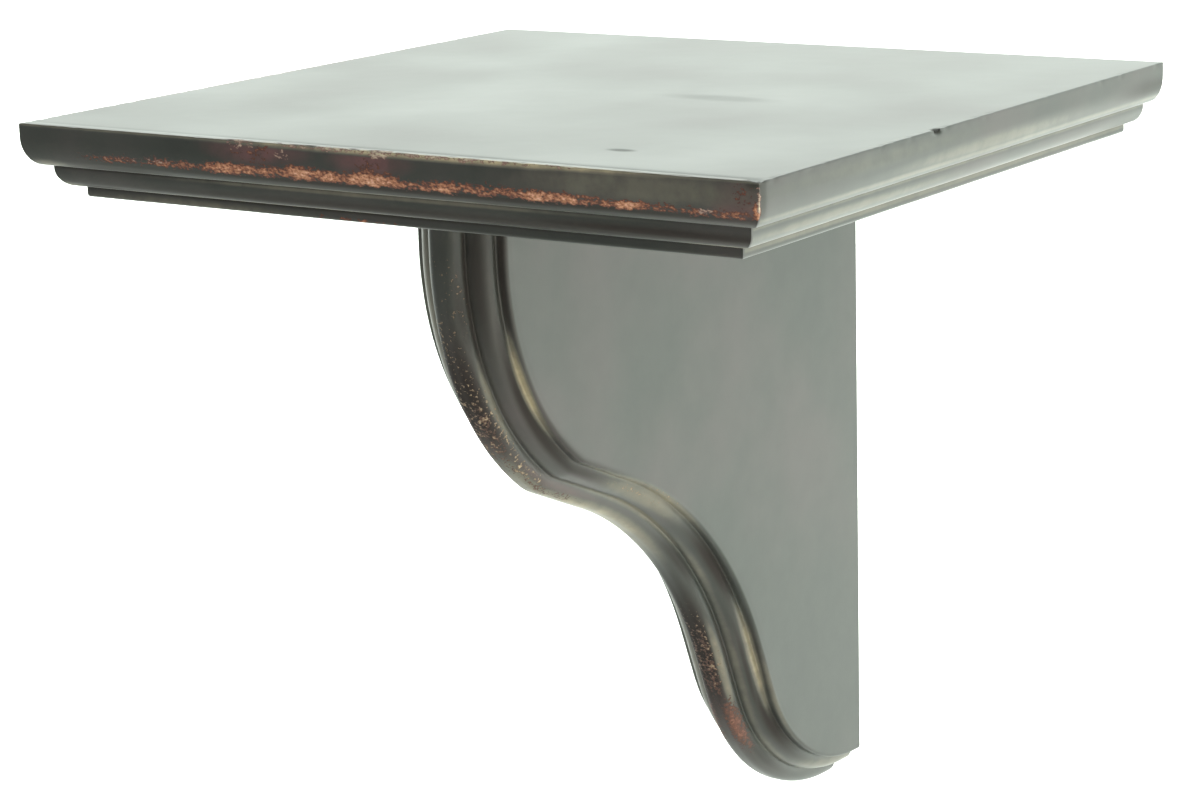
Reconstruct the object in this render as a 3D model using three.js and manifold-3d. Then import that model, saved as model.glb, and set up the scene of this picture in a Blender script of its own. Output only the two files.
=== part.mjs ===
// Bracket shelf: a square board with a stepped moulding on three edges, carried by one
// upright S-scroll corbel with the same moulding down both sides of its free edge.
// Millimetres, +Z up, +X to the right, +Y into the wall. The origin is the middle of the
// corbel's back, which is the face that is fixed to the wall.

import * as THREE from 'three';
import { mergeVertices } from 'three/addons/utils/BufferGeometryUtils.js';
import Module from 'manifold-3d';

const wasm = await Module();
wasm.setup();

// Shelf board
const SHELF_WIDTH = 305;
const SHELF_OVERHANG = 40.9;      // from the corbel's nose to the shelf's front edge
const SLAB_THICKNESS = 15.5;      // top tier, which makes the visible edge
const SLAB_EDGE_FLAT = 5.2;       // upright band above the slab's rounding
const SHELF_STEP = 7.9;           // how far each tier stands back from the one above
const SHELF_LEDGE = 1.7;          // flat ledge between a rounding and the next tier

// Corbel board
const NOSE_THICKNESS = 13.3;      // middle tier of the free edge, side to side
const NOSE_FLAT = 2.5;            // flat strip that is left between the nose's two roundings
const CORBEL_STEP = 6.65;
const CORBEL_LEDGE = 1;

// The two lower tiers are the same on both boards
const TIER_2_THICKNESS = 8.2;
const TIER_2_FLAT = 1;
const TIER_3_THICKNESS = 4.2;
const TIER_3_EASE = 1.2;          // small rounding on the last arris

// S-scroll of the nose, from the shelf down to the wall: lengths, radii and turns in degrees
const NECK_LENGTH = 14;
const BELLY_RADIUS = 117;
const BELLY_DEGREES = 53.4;
const KNEE_RADIUS = 27.7;
const KNEE_DEGREES = 13;
const SHOULDER_LENGTH = 34.2;
const HOLLOW_RADIUS = 155;
const HOLLOW_DEGREES = 43.7;
const SHANK_LENGTH = 23.4;
const TOE_RADIUS = 91.2;

const JOINT_GAP = 0.3;            // glue line between the shelf and the corbel
const TRIM = 40;                  // extra stock past the wall and past the top, cut away
const ARC_SEGMENTS = 9;
const ROUND_SEGMENTS = 6;

const DOWN = -Math.PI / 2;
const LEVEL_DEGREES = 90;

// A run of tiers stacked outwards from a board's middle plane. Each has its reach from that
// plane, its inset from the first tier's outline, and the rounding on its outer arris.
function tiers(firstReach, firstFlat, step, ledge) {
  const reaches = [firstReach, firstReach + TIER_2_THICKNESS];
  reaches.push(reaches[1] + TIER_3_THICKNESS);
  const across = [firstReach - firstFlat, TIER_2_THICKNESS - TIER_2_FLAT, TIER_3_EASE];
  const roundIn = [step - ledge, step - ledge, TIER_3_EASE];
  const segments = [ROUND_SEGMENTS, ROUND_SEGMENTS, 1];
  return reaches.map((reach, i) => (
    { reach, inset: i * step, across: across[i], roundIn: roundIn[i], segments: segments[i] }
  ));
}

const shelfTiers = tiers(SLAB_THICKNESS, SLAB_EDGE_FLAT, SHELF_STEP, SHELF_LEDGE);
const corbelTiers = tiers(NOSE_THICKNESS / 2, NOSE_FLAT / 2, CORBEL_STEP, CORBEL_LEDGE);
const shelfThickness = shelfTiers.at(-1).reach;
const corbelThickness = 2 * corbelTiers.at(-1).reach;

// The scroll's nose line as a chain of straights and arcs. A turn is positive where the
// line bulges outwards, and the last arc brings it in level at the wall.
const scroll = [
  { length: NECK_LENGTH },
  { radius: BELLY_RADIUS, turn: BELLY_DEGREES },
  { radius: KNEE_RADIUS, turn: KNEE_DEGREES },
  { length: SHOULDER_LENGTH },
  { radius: HOLLOW_RADIUS, turn: -HOLLOW_DEGREES },
  { length: SHANK_LENGTH },
  { radius: TOE_RADIUS, turn: LEVEL_DEGREES - BELLY_DEGREES - KNEE_DEGREES + HOLLOW_DEGREES },
];

// Walks the chain from a start point and calls draw for each stretch.
function walk(start, draw) {
  const at = start.clone();
  let heading = DOWN;
  for (const part of scroll) {
    if (part.length !== undefined) {
      at.x += part.length * Math.cos(heading);
      at.y += part.length * Math.sin(heading);
      draw({ end: at.clone(), heading });
      continue;
    }
    const side = Math.sign(part.turn);
    const next = heading + THREE.MathUtils.degToRad(part.turn);
    const centre = new THREE.Vector2(
      at.x - side * part.radius * Math.sin(heading),
      at.y + side * part.radius * Math.cos(heading),
    );
    at.x = centre.x + side * part.radius * Math.sin(next);
    at.y = centre.y - side * part.radius * Math.cos(next);
    draw({ end: at.clone(), heading: next, centre, side, radius: part.radius, from: heading });
    heading = next;
  }
  return at;
}

const run = walk(new THREE.Vector2(), () => {});
const corbelReach = run.x;
const corbelDrop = -run.y;
const shelfDepth = corbelReach + SHELF_OVERHANG;
const corbelTop = corbelDrop / 2;
const shelfTop = corbelTop + JOINT_GAP + shelfThickness;

// Corbel outline at an inset, in the plane of the board: depth across, height up.
function corbelOutline(inset) {
  const shape = new THREE.Shape();
  shape.moveTo(TRIM, corbelTop + TRIM);
  shape.lineTo(-corbelReach + inset, corbelTop + TRIM);
  shape.lineTo(-corbelReach + inset, corbelTop);
  walk(new THREE.Vector2(-corbelReach, corbelTop), (part) => {
    const { end, heading, centre, side, radius, from } = part;
    if (centre) {
      const quarter = side * Math.PI / 2;
      shape.absarc(centre.x, centre.y, radius - side * inset, from - quarter, heading - quarter, side < 0);
    } else {
      shape.lineTo(end.x - inset * Math.sin(heading), end.y + inset * Math.cos(heading));
    }
  });
  shape.lineTo(TRIM, corbelTop - corbelDrop + inset);
  shape.closePath();
  return shape;
}

// Shelf outline at an inset, seen from above; the edge past the wall is cut off later.
function shelfOutline(inset) {
  const half = SHELF_WIDTH / 2 - inset;
  const front = -shelfDepth + inset;
  const shape = new THREE.Shape();
  shape.moveTo(-half, front);
  shape.lineTo(half, front);
  shape.lineTo(half, TRIM);
  shape.lineTo(-half, TRIM);
  shape.closePath();
  return shape;
}

function toSolid(geometry) {
  const bare = geometry.clone();
  bare.deleteAttribute('normal');
  bare.deleteAttribute('uv');
  const merged = mergeVertices(bare);
  return new wasm.Manifold(new wasm.Mesh({
    numProp: 3,
    vertProperties: merged.attributes.position.array,
    triVerts: Uint32Array.from(merged.index.array),
  }));
}

function toMesh(solid, name, material) {
  const { vertProperties, triVerts } = solid.getMesh();
  const geometry = new THREE.BufferGeometry();
  geometry.setAttribute('position', new THREE.BufferAttribute(vertProperties, 3));
  geometry.setIndex(new THREE.BufferAttribute(triVerts, 1));
  geometry.computeVertexNormals();
  const mesh = new THREE.Mesh(geometry, material);
  mesh.name = name;
  return mesh;
}

// One tier, extruded evenly to both sides of the board's middle plane.
function tierSolid(tier, outline, turned) {
  const { reach, inset, across, roundIn, segments } = tier;
  const straight = 2 * (reach - across);
  const geometry = new THREE.ExtrudeGeometry(outline(inset), {
    depth: straight,
    curveSegments: ARC_SEGMENTS,
    bevelEnabled: true,
    bevelThickness: across,
    bevelSize: roundIn,
    bevelOffset: -roundIn,
    bevelSegments: segments,
  });
  geometry.translate(0, 0, -straight / 2);
  geometry.applyMatrix4(turned);
  return toSolid(geometry);
}

// The block of stock that a board is cut out of, given by its low and high corners.
function stock(low, high) {
  const size = high.clone().sub(low);
  const geometry = new THREE.BoxGeometry(size.x, size.y, size.z);
  geometry.translate(low.x + size.x / 2, low.y + size.y / 2, low.z + size.z / 2);
  return toSolid(geometry);
}

function mouldedBoard(tierList, outline, turned, low, high) {
  const solids = tierList.map((tier) => tierSolid(tier, outline, turned));
  const board = solids.reduce((whole, tier) => whole.add(tier));
  return board.intersect(stock(low, high));
}

const paint = (colour) => new THREE.MeshStandardMaterial({ color: colour, roughness: 0.35, metalness: 0 });

// The shelf lies level: its middle plane is the top face, and everything above is cut away.
function makeShelf() {
  const level = new THREE.Matrix4().makeTranslation(0, 0, shelfTop);
  const low = new THREE.Vector3(-SHELF_WIDTH, -shelfDepth - TRIM, shelfTop - shelfThickness - TRIM);
  const high = new THREE.Vector3(SHELF_WIDTH, 0, shelfTop);
  return toMesh(mouldedBoard(shelfTiers, shelfOutline, level, low, high), 'shelf', paint('#59605a'));
}

// The corbel stands on edge: outline depth goes to Y, outline height to Z, thickness to X.
function makeCorbel() {
  const upright = new THREE.Matrix4().makeBasis(
    new THREE.Vector3(0, 1, 0),
    new THREE.Vector3(0, 0, 1),
    new THREE.Vector3(1, 0, 0),
  );
  const low = new THREE.Vector3(-corbelThickness, -corbelReach - TRIM, corbelTop - corbelDrop - TRIM);
  const high = new THREE.Vector3(corbelThickness, 0, corbelTop);
  return toMesh(mouldedBoard(corbelTiers, corbelOutline, upright, low, high), 'corbel', paint('#4c524d'));
}

const bracketShelf = new THREE.Group();
bracketShelf.add(makeShelf(), makeCorbel());

export default bracketShelf;
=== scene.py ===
import math

import bmesh
import bpy
from mathutils import Matrix, Vector, noise


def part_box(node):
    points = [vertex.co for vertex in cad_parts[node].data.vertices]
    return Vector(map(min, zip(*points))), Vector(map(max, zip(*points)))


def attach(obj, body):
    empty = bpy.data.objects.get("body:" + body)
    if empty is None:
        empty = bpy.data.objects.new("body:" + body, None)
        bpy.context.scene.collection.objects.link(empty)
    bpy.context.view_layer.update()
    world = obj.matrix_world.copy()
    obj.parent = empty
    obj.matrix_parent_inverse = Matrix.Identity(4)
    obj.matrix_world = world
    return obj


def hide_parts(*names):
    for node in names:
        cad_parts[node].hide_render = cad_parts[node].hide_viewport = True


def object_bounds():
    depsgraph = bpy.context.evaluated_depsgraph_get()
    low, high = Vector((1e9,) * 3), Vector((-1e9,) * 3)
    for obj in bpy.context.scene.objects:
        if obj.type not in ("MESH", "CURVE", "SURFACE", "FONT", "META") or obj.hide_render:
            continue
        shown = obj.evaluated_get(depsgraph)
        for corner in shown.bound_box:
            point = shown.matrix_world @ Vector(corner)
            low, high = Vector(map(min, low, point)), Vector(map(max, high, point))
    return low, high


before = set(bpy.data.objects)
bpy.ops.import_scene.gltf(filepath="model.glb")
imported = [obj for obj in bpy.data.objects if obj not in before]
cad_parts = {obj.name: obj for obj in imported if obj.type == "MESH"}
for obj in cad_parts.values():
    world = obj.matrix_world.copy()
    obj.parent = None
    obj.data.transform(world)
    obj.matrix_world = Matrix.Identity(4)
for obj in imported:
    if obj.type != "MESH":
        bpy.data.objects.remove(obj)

cad_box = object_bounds()

# Shelf board
# One board of close-grained wood. A three-step moulding is routed round its front edge and
# both ends, and mitres itself at the front corners. The back edge is sawn flat for the wall.

MM = 0.001
shelf_low, shelf_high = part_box("shelf")
shelf_top = shelf_high.z
shelf_front = shelf_low.y
shelf_half = shelf_high.x

TIER_2_THICKNESS = 8.2 * MM
TIER_2_FLAT = 1.0 * MM
TIER_3_THICKNESS = 4.2 * MM
TIER_3_EASE = 1.2 * MM
PAINT_FILLET = 0.45 * MM          # paint that gathers in an inner corner
ARRIS_EASE = 0.5 * MM             # sanded top arris
STRIP = 3.0 * MM                  # flat strip carried along on each side of the moulding
LONGEST_FACET = 0.6 * MM
STATION = 1.5 * MM                # length of one facet along a moulding
ROUND_STEPS = 14                  # facets round one large rounding
CORNER_STEPS = 4                  # facets round an eased arris or a paint fillet
SHARP_ANGLE = 40                  # degrees; a sharper edge stays crisp
HAIR = 0.1 * MM                   # two points this close count as one

SLAB_THICKNESS = 15.5 * MM
SLAB_EDGE_FLAT = 5.2 * MM
SHELF_STEP = 7.9 * MM
SHELF_LEDGE = 1.7 * MM


def quarter(inset, reach, inward, across, steps):
    """Points of a quarter-ellipse rounding: it leaves along the reach and ends along the inset."""
    turns = [math.pi / 2 * i / steps for i in range(steps + 1)]
    return [(inset + inward * (1 - math.cos(t)), reach + across * math.sin(t)) for t in turns]


def fillet(inset, reach):
    """Points of the small hollow that paint leaves where a ledge meets the next tier."""
    r = PAINT_FILLET
    turns = [math.pi / 2 * i / CORNER_STEPS for i in range(CORNER_STEPS + 1)]
    return [(inset - r + r * math.sin(t), reach + r - r * math.cos(t)) for t in turns]


def moulding(first_reach, first_flat, step, ledge):
    """Cross-section of the three tiers, as (inset, reach) points from the first flat on."""
    second = first_reach + TIER_2_THICKNESS
    third = second + TIER_3_THICKNESS
    inward = step - ledge
    line = quarter(0, first_flat, inward, first_reach - first_flat, ROUND_STEPS)
    line += fillet(step, first_reach)
    line += quarter(step, first_reach + TIER_2_FLAT, inward, TIER_2_THICKNESS - TIER_2_FLAT, ROUND_STEPS)
    line += fillet(2 * step, second)
    line += quarter(2 * step, third - TIER_3_EASE, TIER_3_EASE, TIER_3_EASE, CORNER_STEPS)
    return line


def dense(line):
    """The same line with points added, so that no facet of it is long."""
    result = [line[0]]
    for (a, b), (c, d) in zip(line, line[1:]):
        pieces = max(1, math.ceil(math.hypot(c - a, d - b) / LONGEST_FACET))
        result += [(a + (c - a) * i / pieces, b + (d - b) * i / pieces) for i in range(1, pieces + 1)]
    return result


def with_normals(line):
    """Adds to each (inset, reach) point the direction that points into the wood."""
    result = []
    for i, (inset, reach) in enumerate(line):
        before = Vector(line[max(i - 1, 0)])
        after = Vector(line[min(i + 1, len(line) - 1)])
        run = (after - before).normalized()
        result.append((inset, reach, run.y, -run.x))
    return result


def smooth(value, low, high):
    """0 below low, 1 above high and a soft ramp between."""
    t = min(max((value - low) / (high - low), 0), 1)
    return t * t * (3 - 2 * t)


def ripple(point, size):
    """Soft noise from -1 to 1 with bumps of about this size."""
    return noise.noise(point / size)


# The kinds of wear and of painted light, in order: thin paint, painted shade laid on as glaze, pale
# places of painted highlight and reflection with some rubbed cream, rubbed copper and chalky cream.
# Each is a number on every vertex of the mouldings.
WEAR_AND_PAINTED_LIGHT = ("thin", "glaze_and_shade", "pale_wear_and_highlight", "rubbed", "chalky")


def sweep(bm, section, stations, place, hollow, wear_and_light):
    """Lays the section at every station and joins neighbours; returns the rows of vertices."""
    layers = [bm.verts.layers.float.new(name) for name in WEAR_AND_PAINTED_LIGHT]
    rows = []
    for station in stations:
        row = []
        for inset, reach, into_inset, into_reach in section:
            point = place(station, inset, reach)
            depth = hollow(point, inset, reach)
            hollowed = place(station, inset + depth * into_inset, reach + depth * into_reach)
            row.append(bm.verts.new(hollowed))
            if 1 < len(row) < len(section):   # the outermost points belong to the flat faces
                for layer, amount in zip(layers, wear_and_light(point, inset, reach)):
                    row[-1][layer] = amount
        rows.append(row)
    for row, following in zip(rows, rows[1:]):
        for i in range(len(row) - 1):
            bm.faces.new((row[i], following[i], following[i + 1], row[i + 1]))
    return rows


def finish_mesh(bm, name):
    """Turns the mesh into an object with crisp ledges and soft roundings."""
    bmesh.ops.recalc_face_normals(bm, faces=bm.faces)
    mesh = bpy.data.meshes.new(name)
    bm.to_mesh(mesh)
    bm.free()
    mesh.shade_smooth()
    mesh.set_sharp_from_angle(angle=math.radians(SHARP_ANGLE))
    piece = bpy.data.objects.new(name, mesh)
    bpy.context.scene.collection.objects.link(piece)
    return piece


def spaced(start, end, spacing):
    """Even steps from start to end, none longer than the spacing."""
    count = math.ceil(abs(end - start) / spacing)
    return [start + (end - start) * i / count for i in range(count + 1)]


# Stations run from the wall along the left end, across the front and back along the right
# end. The place along a run is a share of its length, so that the mitres meet.
end_shares = [y / shelf_front for y in spaced(0, shelf_front, STATION)]
front_shares = [x / shelf_half for x in spaced(-shelf_half, shelf_half, STATION)]
shelf_stations = [("left", share) for share in end_shares]
shelf_stations += [("front", share) for share in front_shares[1:]]
shelf_stations += [("right", share) for share in reversed(end_shares[:-1])]


def shelf_place(station, inset, drop):
    """The point at a station, this far in from the board's edge and down from its top."""
    side, share = station
    half = shelf_half - inset
    front = shelf_front + inset
    if side == "front":
        return Vector((half * share, front, shelf_top - drop))
    return Vector((half if side == "right" else -half, front * share, shelf_top - drop))


# Wear that shows in the shape: knocks along the top arris, most of them in the middle of the
# front, one deeper nick on the right, and the near corner rubbed round.
KNOCK_DEPTH = 0.7 * MM
KNOCK_SIZE = 4.5 * MM
KNOCK_REACH = 2.5 * MM            # how far from the arris a knock is felt
KNOCK_NOISE = (0.12, 0.5)         # noise where a knock starts, and where it is deepest
KNOCKED_FROM, KNOCKED_TO = -62 * MM, 26 * MM
KNOCKS_ELSEWHERE = 0.25           # share of their depth away from the middle of the front
NICK_Y = -185 * MM
NICK_REACH = 2.4 * MM
NICK_DEPTH = 1.2 * MM
NICK_ASPECT = 0.7
NICK_CORE = 0.3                   # share of its reach that is at full depth
RUBBED_CORNER_REACH = 4.0 * MM
RUBBED_CORNER_DEPTH = 0.6 * MM
RUBBED_CORNER_DROP = 8 * MM       # the rub fades from here to the foot of the slab
HAND_WAVE = 0.06 * MM
HAND_WAVE_SIZE = 26 * MM


def shelf_hollow(point, inset, drop):
    """How deep the moulding is hollowed at a point, by the maker's hand and by wear."""
    end_inset = shelf_line[-1][0]
    on_moulding = smooth(drop, 0, STRIP) * smooth(-inset, -end_inset, STRIP - end_inset)
    depth = HAND_WAVE * on_moulding * (1 + ripple(point, HAND_WAVE_SIZE))
    arris = 1 - smooth(math.hypot(inset, drop), ARRIS_EASE, KNOCK_REACH)
    on_front = smooth(point.x, KNOCKED_FROM - STRIP, KNOCKED_FROM)
    on_front *= smooth(-point.x, -KNOCKED_TO - STRIP, -KNOCKED_TO)
    on_front *= smooth(-point.y, -shelf_front - STRIP - MM, -shelf_front - STRIP)
    knock = smooth(ripple(point, KNOCK_SIZE), *KNOCK_NOISE)
    depth += KNOCK_DEPTH * arris * knock * (KNOCKS_ELSEWHERE + (1 - KNOCKS_ELSEWHERE) * on_front)
    if point.x > 0:
        nick = math.hypot(point.y - NICK_Y, NICK_ASPECT * (point.x - shelf_half)) / NICK_REACH
        depth += NICK_DEPTH * arris * (1 - smooth(nick, NICK_CORE, 1))
        from_corner = (point.x - shelf_half + inset, point.y - shelf_front - inset)
        corner = math.hypot(*from_corner) / RUBBED_CORNER_REACH
        upper = 1 - smooth(drop, RUBBED_CORNER_DROP, SLAB_THICKNESS)
        depth += RUBBED_CORNER_DEPTH * (1 - smooth(corner, 0, 1)) * upper
    return depth


PATCH_CORE = 0.15                 # share of a patch's reach that is at full strength


def wear_and_light_at(wear_and_light_table, along, girth):
    """The strength of each kind of wear and of painted light at a place, from a table of soft-edged
    patches.
    """
    result = []
    for kind in WEAR_AND_PAINTED_LIGHT:
        strengths = [0.0]
        for centre, reach, strength in wear_and_light_table.get(kind, ()):
            share = math.hypot((along / MM - centre[0]) / reach[0], (girth / MM - centre[1]) / reach[1])
            strengths.append(strength * (1 - smooth(share, PATCH_CORE, 1)))
        result.append(max(strengths))
    return result


# Where the paint is worn, and where shade and light are painted on: centre, reach and strength of
# each patch, in millimetres along the moulding (x on the front, y on the ends) and down it. The way
# down is the drop plus the inset, so 0 is the top arris, 22 the end of the slab's rounding, 38 that
# of the second tier and 45 the last arris. The hand that rubs along the slab's rounding wears it
# most in the middle. The glazed patches are painted shade in the recesses and on the roundings that
# face down; the pale ones are painted highlights along the arrises and painted light over the
# shaded fillets, with rubbed cream in the middle of the top arris.
FRONT_WEAR_AND_LIGHT = {
    "rubbed": [
        ((10, 11.2), (200, 4.6), 0.84), ((-106, 10.8), (26, 4.0), 0.68), ((-82, 10.8), (32, 4.6), 0.82),
        ((-58, 10.8), (30, 5.2), 0.92), ((-22, 10.5), (40, 5.6), 1.0), ((5, 10.5), (26, 6.0), 1.08),
        ((38, 10.8), (40, 5.2), 0.92), ((72, 11.2), (40, 5.0), 0.95), ((108, 11.6), (34, 4.6), 0.84),
        ((136, 12.2), (24, 4.4), 0.74), ((-44, 4.0), (20, 6.0), 0.56), ((4, 5.5), (9, 7.0), 0.6),
        ((146, 5.0), (8, 8.0), 0.42), ((151.6, 10.5), (3.4, 6.5), 1.1), ((-20, 43.0), (50, 2.0), 0.5),
    ],
    "chalky": [
        ((-92, 10.2), (40, 2.8), 0.5), ((-50, 1.4), (12, 3.6), 0.62), ((-34, 3.6), (8, 3.4), 0.5),
        ((-10, 0.2), (16, 2.2), 0.8), ((8, 0.8), (8, 3.4), 0.9), ((22, 0.2), (12, 1.8), 0.75),
        ((-25, 0.2), (14, 1.8), 0.7), ((20, 0.2), (110, 1.8), 0.6), ((133, 11.5), (5.0, 3.4), 0.75),
        ((152.6, 8.0), (1.8, 10.0), 0.9),
    ],
    "thin": [
        ((-44, 2.0), (30, 8.0), 0.9), ((4, 3.0), (22, 8.0), 0.8), ((144, 7), (14, 10), 0.95),
        ((100, 5), (60, 8), 0.3),
    ],
    "glaze_and_shade": [
        ((150.5, 0.8), (5.0, 3.6), 1.0), ((40, 14.6), (230, 3.6), 0.8), ((20, 17), (170, 4.0), 0.5),
        ((-60, 23.4), (200, 1.9), 0.95), ((20, 31), (230, 5.5), 0.8), ((110, 29), (100, 4.5), 0.95),
        ((-105, 18), (40, 4.0), 0.45), ((-40, 39.5), (230, 2.0), 0.95), ((-125, 34), (40, 2.0), 0.6),
    ],
    "pale_wear_and_highlight": [
        ((0, 0), (420, 1.4), 0.36), ((30, 0), (140, 2.4), 1.1), ((-142, 17.5), (14, 4.5), 0.3),
        ((-142, 34.5), (14, 5.0), 0.3), ((-50, 36.8), (140, 2.6), 0.46), ((134, 36.5), (26, 3.0), 0.5),
        ((0, 21), (150, 2.6), 0.38), ((0, 24.6), (140, 1.3), 0.3), ((110, 5), (80, 9), 0.22),
        ((-90, 42.5), (90, 2.4), 0.2),
    ],
}
# On the right end the glazed patches are painted shade along the recess and near the wall, with the dark
# of the nick, and the pale bands are painted reflections that lighten its roundings.
END_WEAR_AND_LIGHT = {
    "rubbed": [((-298.5, 11.5), (3.4, 6), 0.6)],
    "chalky": [((-299, 10), (2.5, 8), 0.5)],
    "glaze_and_shade": [
        ((NICK_Y / MM, 0), (3.0, 2.4), 1.0), ((-150, 22.8), (420, 1.3), 0.3),
        ((-8, 9.0), (40, 6.0), 0.35), ((-8, 36), (50, 9.0), 0.35),
    ],
    "pale_wear_and_highlight": [
        ((-150, 15.0), (420, 2.6), 0.26), ((-140, 11), (110, 5.5), 0.24),
        ((-150, 35.8), (420, 3.0), 0.42), ((-225, 4.5), (120, 5.0), 0.14),
        ((-230, 29), (120, 4.0), 0.26), ((-150, 41), (420, 1.6), 0.34),
        ((-150, 24.5), (420, 1.2), 0.25), ((-170, 20.3), (420, 1.6), 0.22),
    ],
}
# The left end is out of sight, and its wear is plainer.
HIDDEN_END_WEAR = {
    "rubbed": [((-130, 11), (90, 4.0), 0.6), ((-240, 11), (50, 3.4), 0.5)],
    "thin": [((-150, 4), (150, 12), 0.5)],
}


def shelf_wear_and_light(point, inset, drop):
    """The wear and the painted shade and light at a point of the shelf's moulding."""
    if point.y < shelf_front + inset + HAIR:
        return wear_and_light_at(FRONT_WEAR_AND_LIGHT, point.x, inset + drop)
    return wear_and_light_at(END_WEAR_AND_LIGHT if point.x > 0 else HIDDEN_END_WEAR, point.y, inset + drop)


eased = quarter(0, 0, ARRIS_EASE, ARRIS_EASE, CORNER_STEPS)
shelf_line = [(STRIP, 0)]
shelf_line += [(inset, ARRIS_EASE - reach) for inset, reach in reversed(eased)]
shelf_line += moulding(SLAB_THICKNESS, SLAB_EDGE_FLAT, SHELF_STEP, SHELF_LEDGE)
underside_inset = 2 * SHELF_STEP + TIER_3_EASE
shelf_line.append((underside_inset + STRIP, shelf_high.z - shelf_low.z))
shelf_section = with_normals(dense(shelf_line))

bm = bmesh.new()
rows = sweep(bm, shelf_section, shelf_stations, shelf_place, shelf_hollow, shelf_wear_and_light)

# The top and the underside are filled row by row, from the left end to the right one.
ends = len(end_shares)
for edge in (0, -1):
    rail = [row[edge] for row in rows]
    left, front, right = rail[:ends - 1], rail[ends - 1:1 - ends], rail[:-ends:-1]
    bm.faces.new(front + [right[-1], left[-1]])
    for i in range(len(left) - 1):
        bm.faces.new((left[i], left[i + 1], right[i + 1], right[i]))
bm.faces.new(rows[0] + rows[-1][::-1])
shelf_board = finish_mesh(bm, "shelf_board")

# Satin milk paint, dark grey-green over a copper-brown undercoat, brushed on and rubbed back by
# hand. The eye sees a dark film that drifts in tone, worn to specks of undercoat and cream. Pale
# places are painted on where the film would mirror the room at a low angle and where arrises and
# roundings catch a highlight, some of them rubbed cream as well, and painted shade, dark as glaze,
# is laid into the recesses and under the roundings.


def linear(code):
    """Linear colour of an sRGB hex value."""
    parts = [int(code[i:i + 2], 16) / 255 for i in (1, 3, 5)]
    return [c / 12.92 if c <= 0.04045 else ((c + 0.055) / 1.055) ** 2.4 for c in parts] + [1.0]


def per_m(size_mm):
    """Noise scale that gives bumps of about this size."""
    return 1000 / size_mm


def add(tree, kind, values=None, links=None, stops=()):
    """Adds one node with its settings, its links from earlier outputs and its colour stops."""
    node = tree.nodes.new("ShaderNode" + kind)
    for name, value in (values or {}).items():
        if isinstance(name, int) or name in node.inputs:
            node.inputs[name].default_value = value
        else:
            setattr(node, name, value)
    for name, source in (links or {}).items():
        tree.links.new(source, node.inputs[name])
    if stops:
        elements = node.color_ramp.elements
        while len(elements) < len(stops):
            elements.new(0.5)
        for element, (place, code) in zip(elements, stops):
            element.position = place
            element.color = linear(code)
    return node


# A Mix node's sockets share their names, so they are told apart by their places.
FACTOR, NUMBER_A, NUMBER_B, COLOUR_A, COLOUR_B = 0, 2, 3, 6, 7
NUMBER_OUT, COLOUR_OUT = 0, 2

PAINT_IOR = 1.5
PAINT_STOPS = [(0.3, "#2b302b"), (1.0, "#454a42")]
WARM_GREY = "#5f5053"
WARM_SPAN = (0.4, 0.8)            # cloud noise between which the paint turns warmer
WARM_SHARE = 0.5
MAROON = "#855656"                # undercoat that shines through thin paint
THIN_LEAST = 0.2                  # how much of it shows where the mottle hides it most
# Painted shade: a near-black brown laid into the recesses and on roundings that face down or would catch
# a highlight.
GLAZE_AND_SHADE = "#221a13"
# Painted highlight and reflection, partly rubbed cream: grey-green through putty to cream.
PALE_WEAR_AND_HIGHLIGHT_STOPS = [(0.0, "#4a4e48"), (0.4, "#7c7868"), (1.0, "#cfc29c")]
PALE_WEAR_AND_HIGHLIGHT_SPAN = (0.6, 1.2)            # how the mottle makes a pale place uneven
PALE_WEAR_AND_HIGHLIGHT_EDGE = 0.2                   # strength at which a pale place hides the film
COPPER_STOPS = [(0.0, "#38211c"), (0.2, "#6a4335"), (0.45, "#ac7353"), (0.7, "#d9a280"), (1.0, "#f0d2b8")]
CREAM_STOPS = [(0.0, "#5d4342"), (0.2, "#a88a7c"), (0.5, "#d8ccae"), (1.0, "#ece2c6")]
FILM_ROUGHNESS = (0.30, 0.40)
WORN_ROUGHNESS = 0.55
GLAZE_AND_SHADE_ROUGHNESS = 0.75
CLOUD_MM = 80                     # brushed drifts of tone, about a hand wide
MOTTLE_MM = 7                     # uneven rubbing, about a fingertip wide
MOTTLE_SHARE = 0.3
CLUMP = 5                         # width of a clump of specks, in specks
NOISE_SPAN = (0.1, 0.9)           # the range that a noise texture fills
SPECK_CONTRAST = (0.33, 0.67)
SPECK_EDGE = 0.1                  # depth at which a speck hides the film
SMUDGE_CORE = 0.3                 # share of a smudge's reach that is at full strength
GRAIN_BUMP = (0.2, 0.05 * MM)     # strength and height of each bump
BRUSH_BUMP = (0.25, 2.0 * MM)
CHIP_BUMP = (0.7, 0.12 * MM)


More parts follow.
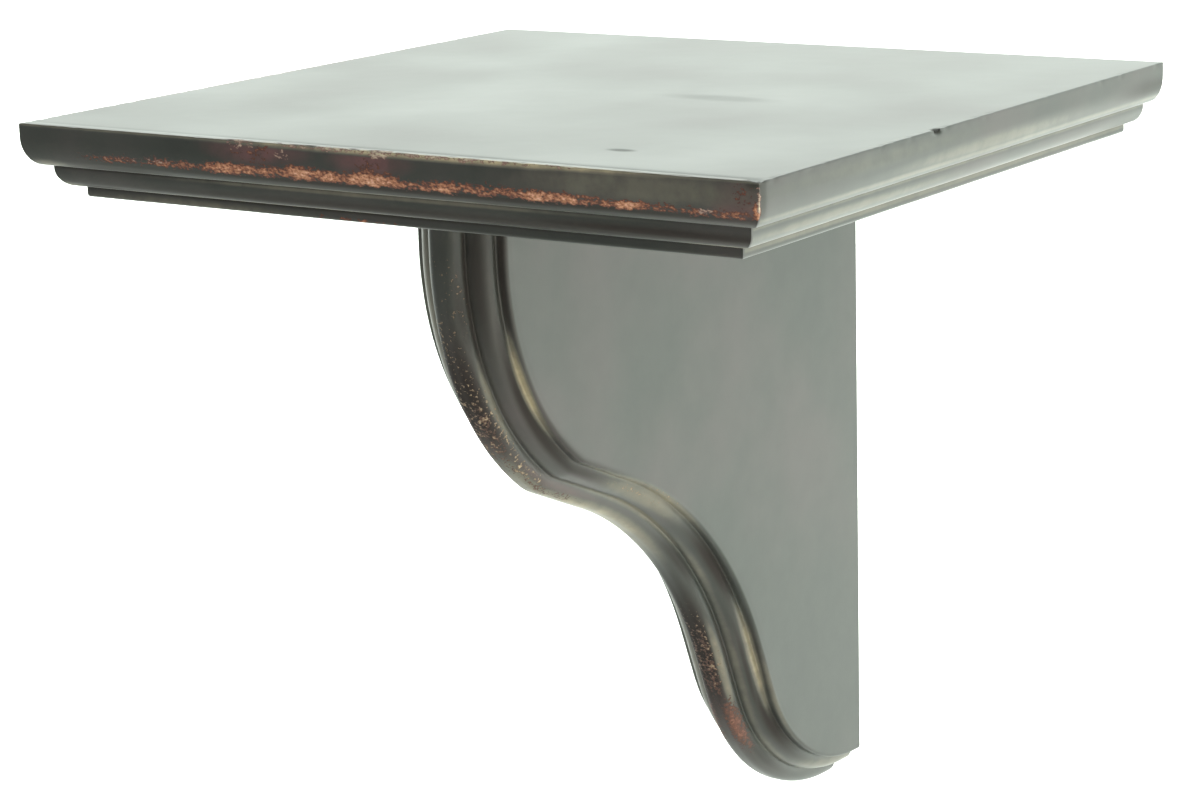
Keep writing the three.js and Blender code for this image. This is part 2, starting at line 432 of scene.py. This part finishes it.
def rubbed_paint(name, speck_mm, clumping, stretch, copper_stops, cream_stops, smudges=()):
    """Milk paint with its thin, rubbed, chalky and dulled places, its painted shade laid on as glaze, and
    its pale places of painted highlight and reflection, partly rubbed cream.
    """
    material = bpy.data.materials.new(name)
    material.use_nodes = True
    tree = material.node_tree
    tree.nodes.clear()
    soft = {"interpolation_type": "SMOOTHSTEP"}
    span = {"From Min": NOISE_SPAN[0], "From Max": NOISE_SPAN[1]}
    position = add(tree, "TexCoord").outputs["Object"]
    values = {"Scale": per_m(CLOUD_MM), "Detail": 3, "Roughness": 0.5}
    cloud = add(tree, "TexNoise", values, {"Vector": position}).outputs["Fac"]
    values = {"Scale": per_m(MOTTLE_MM), "Detail": 5, "Roughness": 0.6}
    mottle = add(tree, "TexNoise", values, {"Vector": position}).outputs["Fac"]
    values = {"operation": "MULTIPLY_ADD", 1: MOTTLE_SHARE}
    blend = add(tree, "Math", values, {0: mottle, 2: cloud}).outputs[0]
    colour = add(tree, "ValToRGB", {}, {"Fac": blend}, PAINT_STOPS).outputs["Color"]

    values = {"operation": "MULTIPLY", 1: stretch}
    drawn = add(tree, "VectorMath", values, {0: position}).outputs[0]
    values = {"Scale": per_m(speck_mm), "Detail": 3, "Roughness": 0.6}
    fine = add(tree, "TexNoise", values, {"Vector": drawn}).outputs["Fac"]
    values = {"Scale": per_m(CLUMP * speck_mm), "Detail": 2}
    broad = add(tree, "TexNoise", values, {"Vector": drawn}).outputs["Fac"]
    both = add(tree, "Mix", {FACTOR: clumping}, {NUMBER_A: fine, NUMBER_B: broad}).outputs[NUMBER_OUT]
    values = {"From Min": SPECK_CONTRAST[0], "From Max": SPECK_CONTRAST[1]}
    speck = add(tree, "MapRange", values, {"Value": both}).outputs["Result"]

    values = {**soft, "From Min": WARM_SPAN[0], "From Max": WARM_SPAN[1], "To Max": WARM_SHARE}
    warm = add(tree, "MapRange", values, {"Value": cloud}).outputs["Result"]
    thin = add(tree, "Attribute", {"attribute_name": "thin"}).outputs["Fac"]
    values = {**soft, **span, "To Min": THIN_LEAST}
    patchy = add(tree, "MapRange", values, {"Value": mottle}).outputs["Result"]
    reddish = add(tree, "Math", {"operation": "MULTIPLY"}, {0: thin, 1: patchy}).outputs[0]
    # Painted shade: this layer darkens the recesses and the undersides of the roundings toward the
    # near-black brown.
    glaze_and_shade = add(tree, "Attribute", {"attribute_name": "glaze_and_shade"}).outputs["Fac"]
    for share, code in ((warm, WARM_GREY), (reddish, MAROON), (glaze_and_shade, GLAZE_AND_SHADE)):
        values = {"data_type": "RGBA", COLOUR_B: linear(code)}
        colour = add(tree, "Mix", values, {FACTOR: share, COLOUR_A: colour}).outputs[COLOUR_OUT]

    # Painted highlights and reflections, with some rubbed cream: this layer lightens arrises and
    # roundings where they catch light or mirror the room.
    pale_wear_and_highlight = add(tree, "Attribute", {"attribute_name": "pale_wear_and_highlight"}).outputs["Fac"]
    values = {**soft, **span, "To Min": PALE_WEAR_AND_HIGHLIGHT_SPAN[0], "To Max": PALE_WEAR_AND_HIGHLIGHT_SPAN[1]}
    uneven = add(tree, "MapRange", values, {"Value": mottle}).outputs["Result"]
    share = add(tree, "Math", {"operation": "MULTIPLY"}, {0: pale_wear_and_highlight, 1: uneven}).outputs[0]
    tone = add(tree, "ValToRGB", {}, {"Fac": share}, PALE_WEAR_AND_HIGHLIGHT_STOPS).outputs["Color"]
    shows = add(tree, "MapRange", {"From Max": PALE_WEAR_AND_HIGHLIGHT_EDGE}, {"Value": share}).outputs["Result"]
    links = {FACTOR: shows, COLOUR_A: colour, COLOUR_B: tone}
    colour = add(tree, "Mix", {"data_type": "RGBA"}, links).outputs[COLOUR_OUT]

    # A speck is worn through where its own value and the strength of the wear pass 1 together.
    worn_through = []
    for layer, stops in (("rubbed", copper_stops), ("chalky", cream_stops)):
        amount = add(tree, "Attribute", {"attribute_name": layer}).outputs["Fac"]
        lifted = add(tree, "Math", {"operation": "ADD"}, {0: speck, 1: amount}).outputs[0]
        values = {"From Min": 1.0, "From Max": 2.0}
        depth = add(tree, "MapRange", values, {"Value": lifted}).outputs["Result"]
        tone = add(tree, "ValToRGB", {}, {"Fac": depth}, stops).outputs["Color"]
        shows = add(tree, "MapRange", {"From Max": SPECK_EDGE}, {"Value": depth}).outputs["Result"]
        links = {FACTOR: shows, COLOUR_A: colour, COLOUR_B: tone}
        colour = add(tree, "Mix", {"data_type": "RGBA"}, links).outputs[COLOUR_OUT]
        worn_through.append(shows)
    bare = add(tree, "Math", {"operation": "MAXIMUM"}, dict(enumerate(worn_through))).outputs[0]

    values = {**span, "To Min": FILM_ROUGHNESS[0], "To Max": FILM_ROUGHNESS[1]}
    rough = add(tree, "MapRange", values, {"Value": cloud}).outputs["Result"]
    for share, duller in ((glaze_and_shade, GLAZE_AND_SHADE_ROUGHNESS), (bare, WORN_ROUGHNESS)):
        rough = add(tree, "Mix", {NUMBER_B: duller}, {FACTOR: share, NUMBER_A: rough}).outputs[NUMBER_OUT]
    for spot, reach, strength in smudges:
        offset = add(tree, "VectorMath", {"operation": "SUBTRACT", 1: spot}, {0: position}).outputs[0]
        scaled = add(tree, "VectorMath", {"operation": "DIVIDE", 1: reach}, {0: offset}).outputs[0]
        away = add(tree, "VectorMath", {"operation": "LENGTH"}, {0: scaled}).outputs["Value"]
        values = {**soft, "From Min": 1.0, "From Max": SMUDGE_CORE, "To Max": strength}
        share = add(tree, "MapRange", values, {"Value": away}).outputs["Result"]
        links = {FACTOR: share, NUMBER_A: rough}
        rough = add(tree, "Mix", {NUMBER_B: WORN_ROUGHNESS}, links).outputs[NUMBER_OUT]

    values = {"Strength": GRAIN_BUMP[0], "Distance": GRAIN_BUMP[1]}
    stippled = add(tree, "Bump", values, {"Height": fine}).outputs[0]
    values = {"Strength": BRUSH_BUMP[0], "Distance": BRUSH_BUMP[1]}
    wavy = add(tree, "Bump", values, {"Height": cloud, "Normal": stippled}).outputs[0]
    values = {"Strength": CHIP_BUMP[0], "Distance": CHIP_BUMP[1], "invert": True}
    chipped = add(tree, "Bump", values, {"Height": bare, "Normal": wavy}).outputs[0]

    links = {"Base Color": colour, "Roughness": rough, "Normal": chipped}
    shader = add(tree, "BsdfPrincipled", {"IOR": PAINT_IOR, "Metallic": 0.0}, links)
    add(tree, "OutputMaterial", {}, {"Surface": shader.outputs[0]})
    return material


# The specks of a rubbed edge are a few tenths of a millimetre wide, too fine for the render, so
# they are drawn 1 mm wide and 1.7 mm long, the way that the hand rubs.
SHELF_SPECK_MM = 1.0
SHELF_CLUMPING = 0.35
ALONG_THE_EDGE = (0.6, 0.6, 1.0)

# Two faint dull marks on the top: the place, the reach and the strength of each.
SMUDGES = [
    ((47 * MM, -149 * MM, shelf_top), (30 * MM, 9 * MM, 9 * MM), 0.2),
    ((80 * MM, -264 * MM, shelf_top), (7 * MM, 3.5 * MM, 5 * MM), 0.7),
]
shelf_paint = rubbed_paint("milk_paint_shelf", SHELF_SPECK_MM, SHELF_CLUMPING, ALONG_THE_EDGE,
                           COPPER_STOPS, CREAM_STOPS, SMUDGES)
shelf_board.data.materials.append(shelf_paint)
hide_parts("shelf")
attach(shelf_board, "root")

# Corbel
# One upright board, sawn to an S-scroll, with the same three-step moulding routed down both
# sides of its free edge, so that a narrow rounded nose is left in the middle. It is glued under
# the shelf, and its back is sawn flat for the wall.

corbel_low, corbel_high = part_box("corbel")
corbel_top = corbel_high.z
NOSE_THICKNESS = 13.3 * MM
NOSE_FLAT = 2.5 * MM
CORBEL_STEP = 6.65 * MM
CORBEL_LEDGE = 1.0 * MM

# The nose line from the shelf down to the wall: straights by length, arcs by radius and turn.
BELLY_DEGREES = 53.4
KNEE_DEGREES = 13.0
HOLLOW_DEGREES = 43.7
SCROLL = [
    ("straight", 14.0 * MM, 0),
    ("arc", 117.0 * MM, BELLY_DEGREES),
    ("arc", 27.7 * MM, KNEE_DEGREES),
    ("straight", 34.2 * MM, 0),
    ("arc", 155.0 * MM, -HOLLOW_DEGREES),
    ("straight", 23.4 * MM, 0),
    ("arc", 91.2 * MM, 90 - BELLY_DEGREES - KNEE_DEGREES + HOLLOW_DEGREES),
]


def scroll_stations():
    """Points (y, z) on the nose line, each with its heading."""
    y, z, heading = corbel_low.y, corbel_top, -math.pi / 2
    stations = [(y, z, heading)]
    for kind, size, degrees in SCROLL:
        if kind == "straight":
            for length in spaced(0, size, STATION)[1:]:
                stations.append((y + length * math.cos(heading), z + length * math.sin(heading), heading))
        else:
            radius = math.copysign(size, degrees)
            centre_y = y - radius * math.sin(heading)
            centre_z = z + radius * math.cos(heading)
            for step in spaced(0, math.radians(degrees), STATION / size)[1:]:
                now = heading + step
                point = (centre_y + radius * math.sin(now), centre_z - radius * math.cos(now))
                stations.append((*point, now))
        y, z, heading = stations[-1]
    return stations


def corbel_place(station, inset, across):
    """The point at a station, this far in from the nose line and out from the board's middle."""
    y, z, heading = station
    return Vector((across, y - inset * math.sin(heading), z + inset * math.cos(heading)))


def corbel_hollow(point, inset, across):
    """How deep the moulding is hollowed at a point by the maker's hand."""
    end_inset = half_line[-1][0]
    on_moulding = smooth(-point.y, 0, STRIP) * smooth(corbel_top - point.z, 0, STRIP)
    on_moulding *= smooth(-inset, -end_inset, STRIP - end_inset)
    return HAND_WAVE * on_moulding * (1 + ripple(point, HAND_WAVE_SIZE))


# Where the corbel is worn, and where shade and light are painted on, as the drop below the shelf's
# top and the way round from the middle of the nose: 12 is the end of the nose's rounding, 27 that of
# the second tier and 33 the last arris. The nose is speckled on both bulges, and each rounding ends
# in a pale line that is partly rubbed cream and partly a painted highlight. The glazed patches are
# painted shade in the recesses and over the highlight on the second tier's rounding, and the other
# pale patches are painted highlights that lift the second tier.
CORBEL_WEAR_AND_LIGHT = {
    "rubbed": [
        ((267, 6.8), (21, 8.5), 1.0), ((112, 3.5), (36, 8.0), 0.56), ((132, 5.5), (24, 6.0), 0.5),
        ((238, 2.5), (38, 6.5), 0.55),
    ],
    "chalky": [
        ((62, 5.0), (36, 10), 0.2), ((80, 2.5), (36, 9.0), 0.3), ((104, 4.0), (42, 9.0), 0.33),
        ((108, 9.5), (30, 4.0), 0.42), ((126, 7.0), (18, 8.0), 0.42), ((148, 25), (16, 3.0), 0.36),
        ((150, 32), (18, 2.0), 0.42), ((232, 4.0), (34, 7.0), 0.3),
    ],
    "thin": [((110, 0), (60, 12), 0.2), ((136, 7), (22, 9), 0.4), ((250, 4), (50, 8), 0.3)],
    "glaze_and_shade": [
        ((97, 3.5), (42, 10.5), 1.0), ((64, 8.5), (26, 5.0), 0.6), ((229, 2.0), (54, 9.5), 1.0),
        ((50, 18), (44, 6.5), 0.7), ((60, 12.5), (60, 3.0), 0.8), ((224, 13), (40, 2.0), 0.25),
        ((50, 30), (46, 2.6), 0.8), ((106, 25), (56, 5.0), 1.0), ((238, 30), (32, 2.4), 0.6),
        ((190, 25.2), (30, 6.0), 1.0), ((186, 10), (20, 4.5), 0.7), ((267, 25), (30, 6.5), 1.0),
        ((245, 21.5), (36, 2.2), 0.6), ((136, 5.5), (18, 4.5), 0.5), ((122, 32.5), (26, 3.0), 0.5),
        ((284, 10), (18, 4.0), 0.5),
    ],
    "pale_wear_and_highlight": [
        ((98, 11.0), (26, 3.0), 0.34), ((92, 28.9), (28, 3.4), 0.78), ((239, 8.2), (30, 3.8), 0.5),
        ((236, 26.6), (35, 4.2), 0.68), ((152, 25), (20, 9.0), 0.4), ((158, 14), (34, 3.2), 0.42),
        ((150, 30), (30, 5.0), 0.5), ((152, 2.5), (44, 8.5), 0.56), ((240, 16.5), (66, 4.0), 0.2),
        ((254, 32), (38, 3.0), 0.24), ((282, 16), (24, 5.0), 0.2), ((306, 22), (20, 14), 0.3),
        ((190, 16.5), (26, 4.5), 0.2),
    ],
}
# The left side is plainer than the right one: its tiers carry only broad pale patches, a painted
# reflection of the bright room at a low angle.
LEFT_SIDE_PAINTED_REFLECTION = {
    "pale_wear_and_highlight": [((60, 22), (60, 14), 0.4), ((150, 22), (60, 14), 0.2), ((240, 22), (60, 14), 0.3)],
}


def corbel_wear_and_light(point, inset, across):
    """The wear and the painted shade and light at a point of the corbel's moulding."""
    wear_and_light_table = LEFT_SIDE_PAINTED_REFLECTION if point.x < -NOSE_THICKNESS / 2 - HAIR else CORBEL_WEAR_AND_LIGHT
    return wear_and_light_at(wear_and_light_table, shelf_top - point.z, inset + abs(point.x))


half_line = moulding(NOSE_THICKNESS / 2, NOSE_FLAT / 2, CORBEL_STEP, CORBEL_LEDGE)
half_line.append((2 * CORBEL_STEP + TIER_3_EASE + STRIP, corbel_high.x))
half_section = with_normals(dense([(0, 0)] + half_line))
left_half = [(inset, -across, into, -sideways) for inset, across, into, sideways in half_section[1:]]
corbel_section = left_half[::-1] + half_section

bm = bmesh.new()
rows = sweep(bm, corbel_section, scroll_stations(), corbel_place, corbel_hollow, corbel_wear_and_light)

# The two flat sides, the top and the back.
left_corner = bm.verts.new((corbel_low.x, 0, corbel_top))
right_corner = bm.verts.new((corbel_high.x, 0, corbel_top))
bm.faces.new([row[0] for row in rows] + [left_corner])
bm.faces.new([row[-1] for row in rows] + [right_corner])
bm.faces.new(rows[0] + [right_corner, left_corner])
bm.faces.new(rows[-1] + [right_corner, left_corner])
corbel_board = finish_mesh(bm, "corbel_board")

# The same milk paint. The nose is rubbed to a speckle of brown and old gold, with one reddish
# patch low down, and the roundings end in a pale line that is partly rubbed cream and partly a
# painted highlight. The specks are drawn 1.3 mm wide, far coarser than the real ones, so that they
# show.

RUST_STOPS = [(0.0, "#3a2a22"), (0.25, "#5c4034"), (0.6, "#774b3a"), (1.0, "#9a6f57")]
OLD_GOLD_STOPS = [(0.0, "#4a3a28"), (0.18, "#96826a"), (0.45, "#c4b594"), (1.0, "#dfd8bc")]
CORBEL_SPECK_MM = 1.3
CORBEL_CLUMPING = 0.2
EVENLY = (1.0, 1.0, 1.0)
corbel_paint = rubbed_paint("milk_paint_corbel", CORBEL_SPECK_MM, CORBEL_CLUMPING, EVENLY,
                            RUST_STOPS, OLD_GOLD_STOPS)
corbel_board.data.materials.append(corbel_paint)
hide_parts("corbel")
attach(corbel_board, "root")

# Floor and light
# A wide pale floor well below the bracket, and four soft lights: a wall of light behind it,
# which its top mirrors, one overhead and two on the right. The front is left in soft shade.

FLOOR_DROP = 1.0
FLOOR_HALF = 18.0
FLOOR_WHITE = "#f4f4f3"
FLOOR_ROUGHNESS = 0.9
FLOOR_SPECULAR = 0.1


def floor_material():
    """Matt white emulsion, rolled on: an even white with hardly a reflection."""
    material = bpy.data.materials.new("matt_white_floor")
    material.use_nodes = True
    shader = material.node_tree.nodes["Principled BSDF"]
    shader.inputs["Base Color"].default_value = linear(FLOOR_WHITE)
    shader.inputs["Roughness"].default_value = FLOOR_ROUGHNESS
    shader.inputs["Specular IOR Level"].default_value = FLOOR_SPECULAR
    return material


bm = bmesh.new()
floor_z = cad_box[0].z - FLOOR_DROP
corners = [(-1, -1), (1, -1), (1, 1), (-1, 1)]
bm.faces.new([bm.verts.new((x * FLOOR_HALF, y * FLOOR_HALF, floor_z)) for x, y in corners])
floor = finish_mesh(bm, "floor")
floor.data.materials.append(floor_material())

COOL_WHITE = "#f4fff5"
WARM_WHITE = "#fff6e6"
WHITE = "#ffffff"
WORLD_STRENGTH = 0.45
BRACKET_MIDDLE = (0, -0.15, 0)


def softbox(name, place, target, width, height, radiance, spread, tint):
    """A soft light that looks this bright wherever it is mirrored; the camera doesn't see it."""
    light = bpy.data.lights.new(name, "AREA")
    light.shape = "RECTANGLE"
    light.size = width
    light.size_y = height
    light.energy = radiance * math.pi * width * height
    light.spread = math.radians(spread)
    light.color = linear(tint)[:3]
    lamp = bpy.data.objects.new(name, light)
    lamp.location = place
    lamp.rotation_euler = (Vector(place) - Vector(target)).to_track_quat("Z", "Y").to_euler()
    lamp.visible_camera = False
    bpy.context.scene.collection.objects.link(lamp)


softbox("wall_of_light", (0, 5.0, 1.6), (0, 0, 1.6), 14.0, 3.6, 2.3, 180, COOL_WHITE)
softbox("overhead", (-4.0, 8.5, 2.2), (-4.0, 8.5, 0), 24.0, 15.0, 2.45, 90, COOL_WHITE)
softbox("right_light", (3.2, -1.2, 2.0), (3.2, -1.2, 0), 2.6, 2.6, 5.0, 90, WARM_WHITE)
softbox("side_light", (2.95, -0.7, 0.25), BRACKET_MIDDLE, 1.2, 1.2, 1.65, 180, WHITE)

world = bpy.data.worlds.new("studio")
world.use_nodes = True
background = world.node_tree.nodes["Background"]
background.inputs["Color"].default_value = linear(WHITE)
background.inputs["Strength"].default_value = WORLD_STRENGTH
bpy.context.scene.world = world

# Camera
# A long lens a good metre away, 34 degrees round to the right and 14 degrees above.

SENSOR_WIDTH = 36.0
CLIP_END = 60.0                   # past the far edge of the floor
LENS = 90.39
AZIMUTH = math.radians(34.06)
ELEVATION = math.radians(13.62)
ROLL = math.radians(-1.63)
CAMERA_FROM_SHELF_TOP = (610.3 * MM, -1064.8 * MM, 149.8 * MM)

back = Vector((math.sin(AZIMUTH) * math.cos(ELEVATION), -math.cos(AZIMUTH) * math.cos(ELEVATION),
               math.sin(ELEVATION)))
right = Vector((math.cos(AZIMUTH), math.sin(AZIMUTH), 0))
upright = Matrix((right, back.cross(right), back)).transposed()
camera_data = bpy.data.cameras.new("camera")
camera_data.lens = LENS
camera_data.sensor_width = SENSOR_WIDTH
camera_data.clip_end = CLIP_END
camera = bpy.data.objects.new("camera", camera_data)
camera.matrix_world = (upright @ Matrix.Rotation(ROLL, 3, "Z")).to_4x4()
camera.location = Vector(CAMERA_FROM_SHELF_TOP) + Vector((0, 0, shelf_top))
bpy.context.scene.collection.objects.link(camera)
bpy.context.scene.camera = camera
bpy.context.scene.view_settings.view_transform = "Standard"
